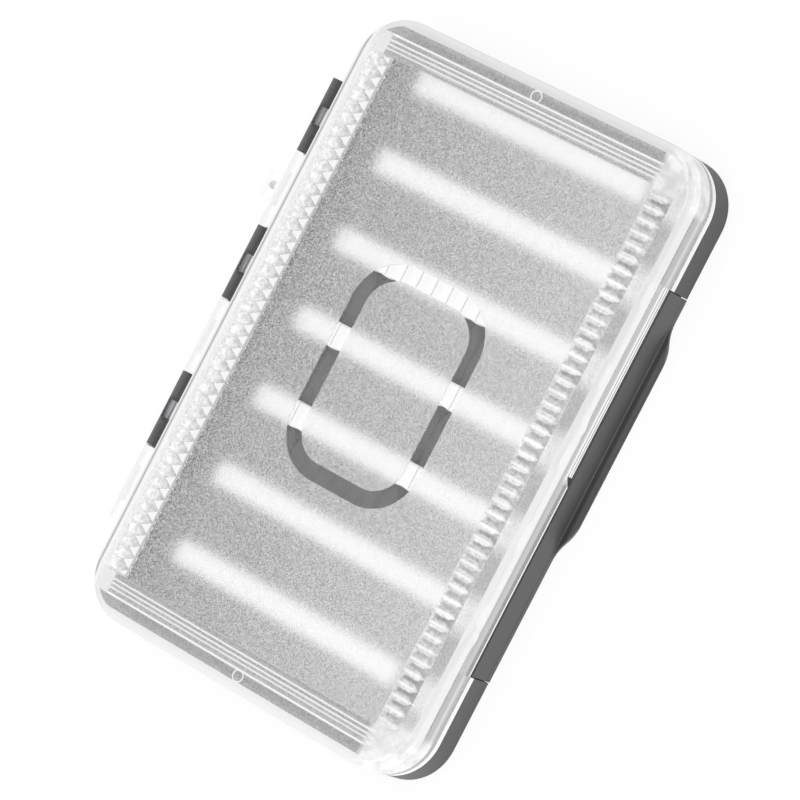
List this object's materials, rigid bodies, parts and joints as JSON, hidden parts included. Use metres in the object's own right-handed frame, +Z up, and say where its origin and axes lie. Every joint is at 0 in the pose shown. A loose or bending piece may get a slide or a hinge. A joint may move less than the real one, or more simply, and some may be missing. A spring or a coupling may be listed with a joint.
{
  "type": "fly box",
  "caption": "Slim rectangular case with a dark base, a frosted clear hinged lid, a long front latch bar and rows of foam for fishing flies.",
  "frame": {"origin": "centre of the underside of the base", "axes": "+X along the case, +Y towards the hinge, the latch faces -Y, +Z up through the lid"},
  "size_m": [0.19, 0.135, 0.0222],
  "materials": {
    "base_plastic": "fine matt moulding",
    "clear_lid": "clear plastic, frosted on its top field and polished on the band, edges and front corners",
    "latch_plastic": "fine matt moulding",
    "steel": "drawn wire",
    "seal_rubber": "soft translucent silicone",
    "dark_foam": "closed-cell foam, matt",
    "white_foam": "closed-cell foam, matt"
  },
  "bodies": {
    "base": {"base_shell": "base_plastic", "hinge_pin": "steel", "rim_seal": "seal_rubber", "foam_pad": "dark_foam", "foam_strip_1": "white_foam", "foam_strip_2": "white_foam", "foam_strip_3": "white_foam", "foam_strip_4": "white_foam", "foam_strip_5": "white_foam", "foam_strip_6": "white_foam", "foam_strip_7": "white_foam"},
    "lid": {"lid_shell": "clear_lid", "latch_pin": "steel"},
    "latch": {"front_latch": "latch_plastic"}
  },
  "joints": [
    {"name": "lid_hinge", "type": "hinge", "parent": "base", "child": "lid", "pos_m": [0, 0.0661, 0.00928], "axis": [-1, 0, 0], "range_deg": [0, 160]},
    {"name": "latch_hinge", "type": "hinge", "parent": "lid", "child": "latch", "pos_m": [0, -0.0575, 0.0128], "axis": [-1, 0, 0], "range_deg": [0, 28]}
  ]
}
